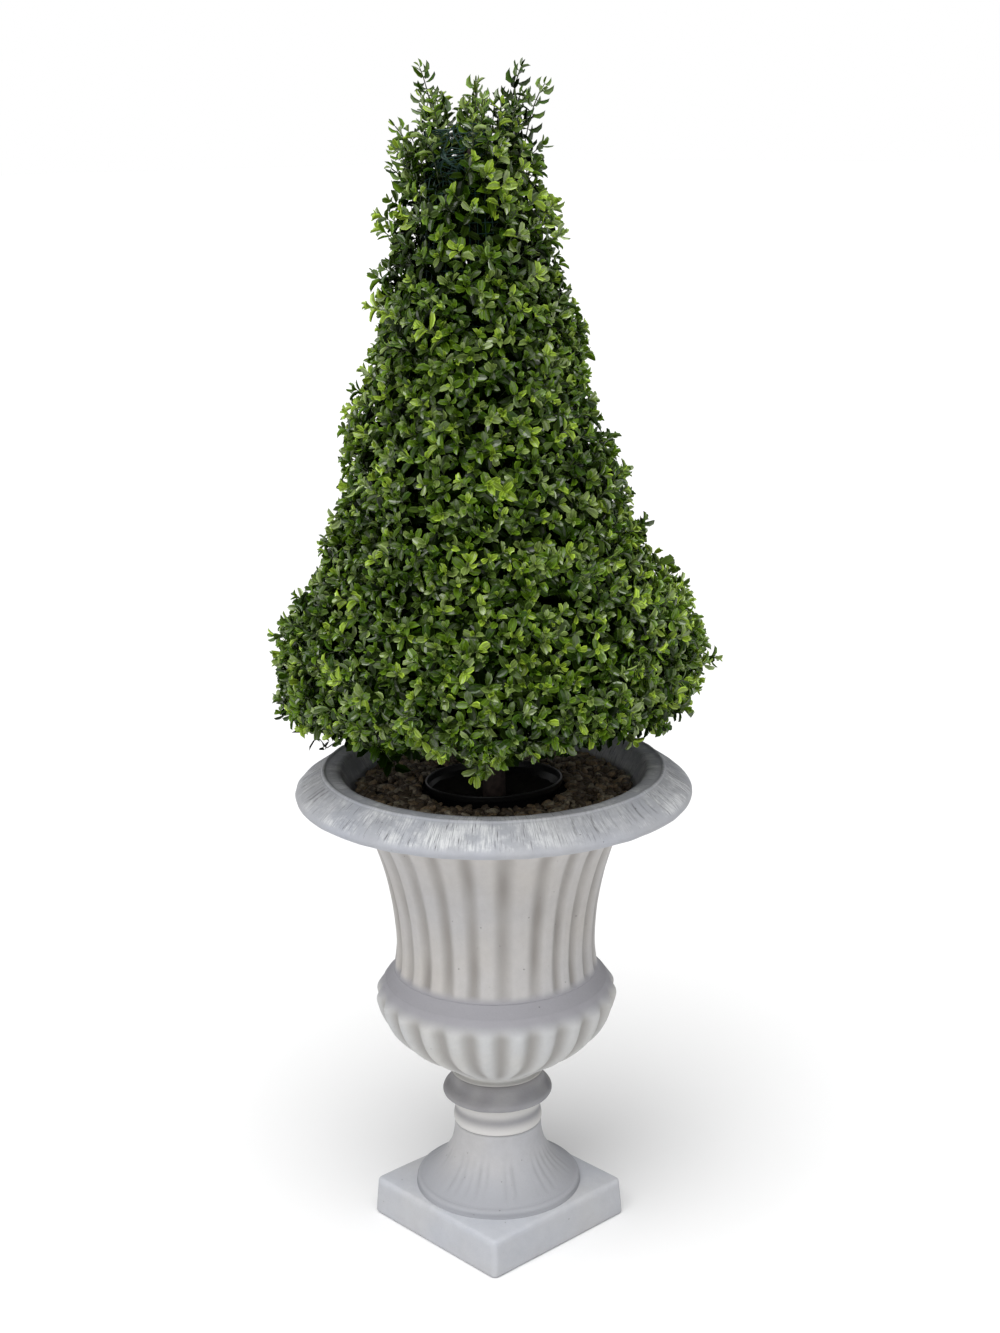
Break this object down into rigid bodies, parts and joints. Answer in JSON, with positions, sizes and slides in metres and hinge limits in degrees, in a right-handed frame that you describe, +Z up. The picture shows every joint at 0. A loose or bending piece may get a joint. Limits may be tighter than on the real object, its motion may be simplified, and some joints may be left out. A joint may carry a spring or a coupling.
{
  "type": "artificial boxwood cone topiary in a pedestal urn",
  "caption": "Artificial boxwood cone topiary in a black nursery pot, bedded in gravel inside a fluted, stone-effect pedestal urn on a square plinth.",
  "frame": {"origin": "centre of the plinth's flat underside, which stands on the ground", "axes": "+Z up through the urn to the cone's top; +X and +Y square to the plinth's sides"},
  "size_m": [0.5514, 0.5483, 1.4788],
  "materials": {
    "cast_stone": "matt grey cast stone, finely pitted, worn pale on its edges",
    "gravel": "dark brown matt gravel",
    "pot_plastic": "black satin moulded plastic",
    "ballast": "dark cement",
    "bark": "dark rough bark",
    "leaves": "soft plastic leaves, slightly glossy, yellow-green tips over dark blue-green"
  },
  "bodies": {
    "root": {"urn_plinth": "cast_stone", "urn_foot": "cast_stone", "urn_knob": "cast_stone", "urn_bowl": "cast_stone", "urn_body": "cast_stone", "urn_rim": "cast_stone", "gravel_fill": "gravel", "nursery_pot": "pot_plastic", "pot_ballast": "ballast", "trunk": "bark", "foliage_skirt": "leaves", "foliage_lower": "leaves", "foliage_middle": "leaves", "foliage_upper": "leaves", "foliage_crown": "leaves", "foliage_tuft_left": "leaves", "foliage_tuft_middle": "leaves", "foliage_tuft_right": "leaves", "foliage_tuft_outer": "leaves", "foliage_tuft_back": "leaves"}
  },
  "joints": []
}
